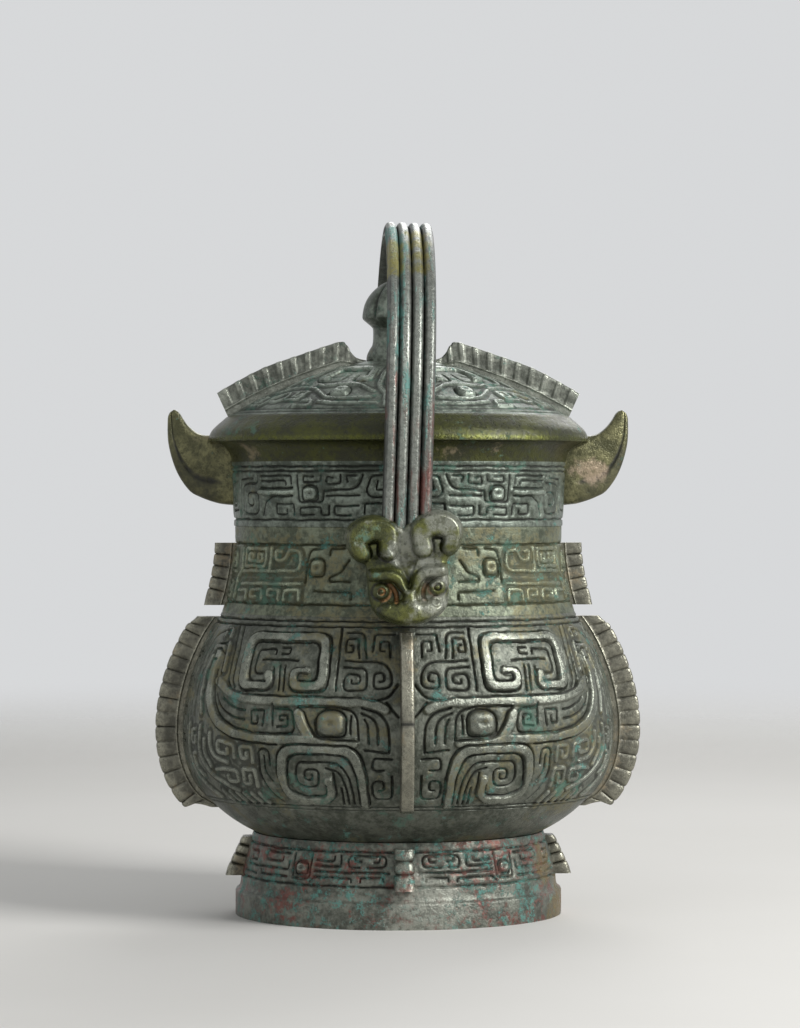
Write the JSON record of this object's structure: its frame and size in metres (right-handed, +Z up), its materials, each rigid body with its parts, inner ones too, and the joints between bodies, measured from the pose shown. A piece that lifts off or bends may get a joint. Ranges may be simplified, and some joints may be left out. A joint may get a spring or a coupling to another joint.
{
  "type": "lidded wine vessel",
  "caption": "Oval bronze wine vessel on a tall foot, with ribbed flanges, a domed lid with horns and a knob, and a swinging ridged bail that ends in animal masks.",
  "frame": {"origin": "centre of the foot's lower edge, on the surface that the vessel stands on", "axes": "+Z up, +X along the long axis of the oval plan towards one side flange, -Y towards the front, where one end of the bail hangs"},
  "size_m": [0.1892, 0.159, 0.2687],
  "materials": {
    "body_bronze": "dark olive patina with green and blue-green corrosion",
    "lid_bronze": "dark olive patina, polished on the raised ornament",
    "bail_bronze": "worn grey-olive patina with brown in the grooves",
    "flange_bronze": "pale worn patina on the ribs"
  },
  "bodies": {
    "vessel": {"vessel_body": "body_bronze", "foot_ring": "body_bronze", "belly_flange_right": "flange_bronze", "belly_flange_left": "flange_bronze", "belly_flange_front": "flange_bronze", "belly_flange_back": "flange_bronze", "neck_flange_right": "flange_bronze", "neck_flange_left": "flange_bronze", "foot_flange_right": "flange_bronze", "foot_flange_left": "flange_bronze", "foot_flange_front": "flange_bronze", "foot_flange_back": "flange_bronze", "bail_lug_front": "body_bronze", "bail_lug_back": "body_bronze"},
    "lid": {"lid_shell": "lid_bronze", "lid_knob": "lid_bronze", "lid_flange_right": "flange_bronze", "lid_flange_left": "flange_bronze", "lid_horn_right": "lid_bronze", "lid_horn_left": "lid_bronze"},
    "bail": {"bail_strap": "bail_bronze", "bail_mask_front": "bail_bronze", "bail_mask_back": "bail_bronze", "bail_ring_front": "bail_bronze", "bail_ring_back": "bail_bronze"}
  },
  "joints": [
    {"name": "lid_lift", "type": "slide", "parent": "vessel", "child": "lid", "axis": [0, 0, 1], "range_m": [0, 0.015]},
    {"name": "bail_swing", "type": "hinge", "parent": "vessel", "child": "bail", "pos_m": [0, 0, 0.136], "axis": [0, 1, 0], "range_deg": [-60.5, 57]}
  ]
}
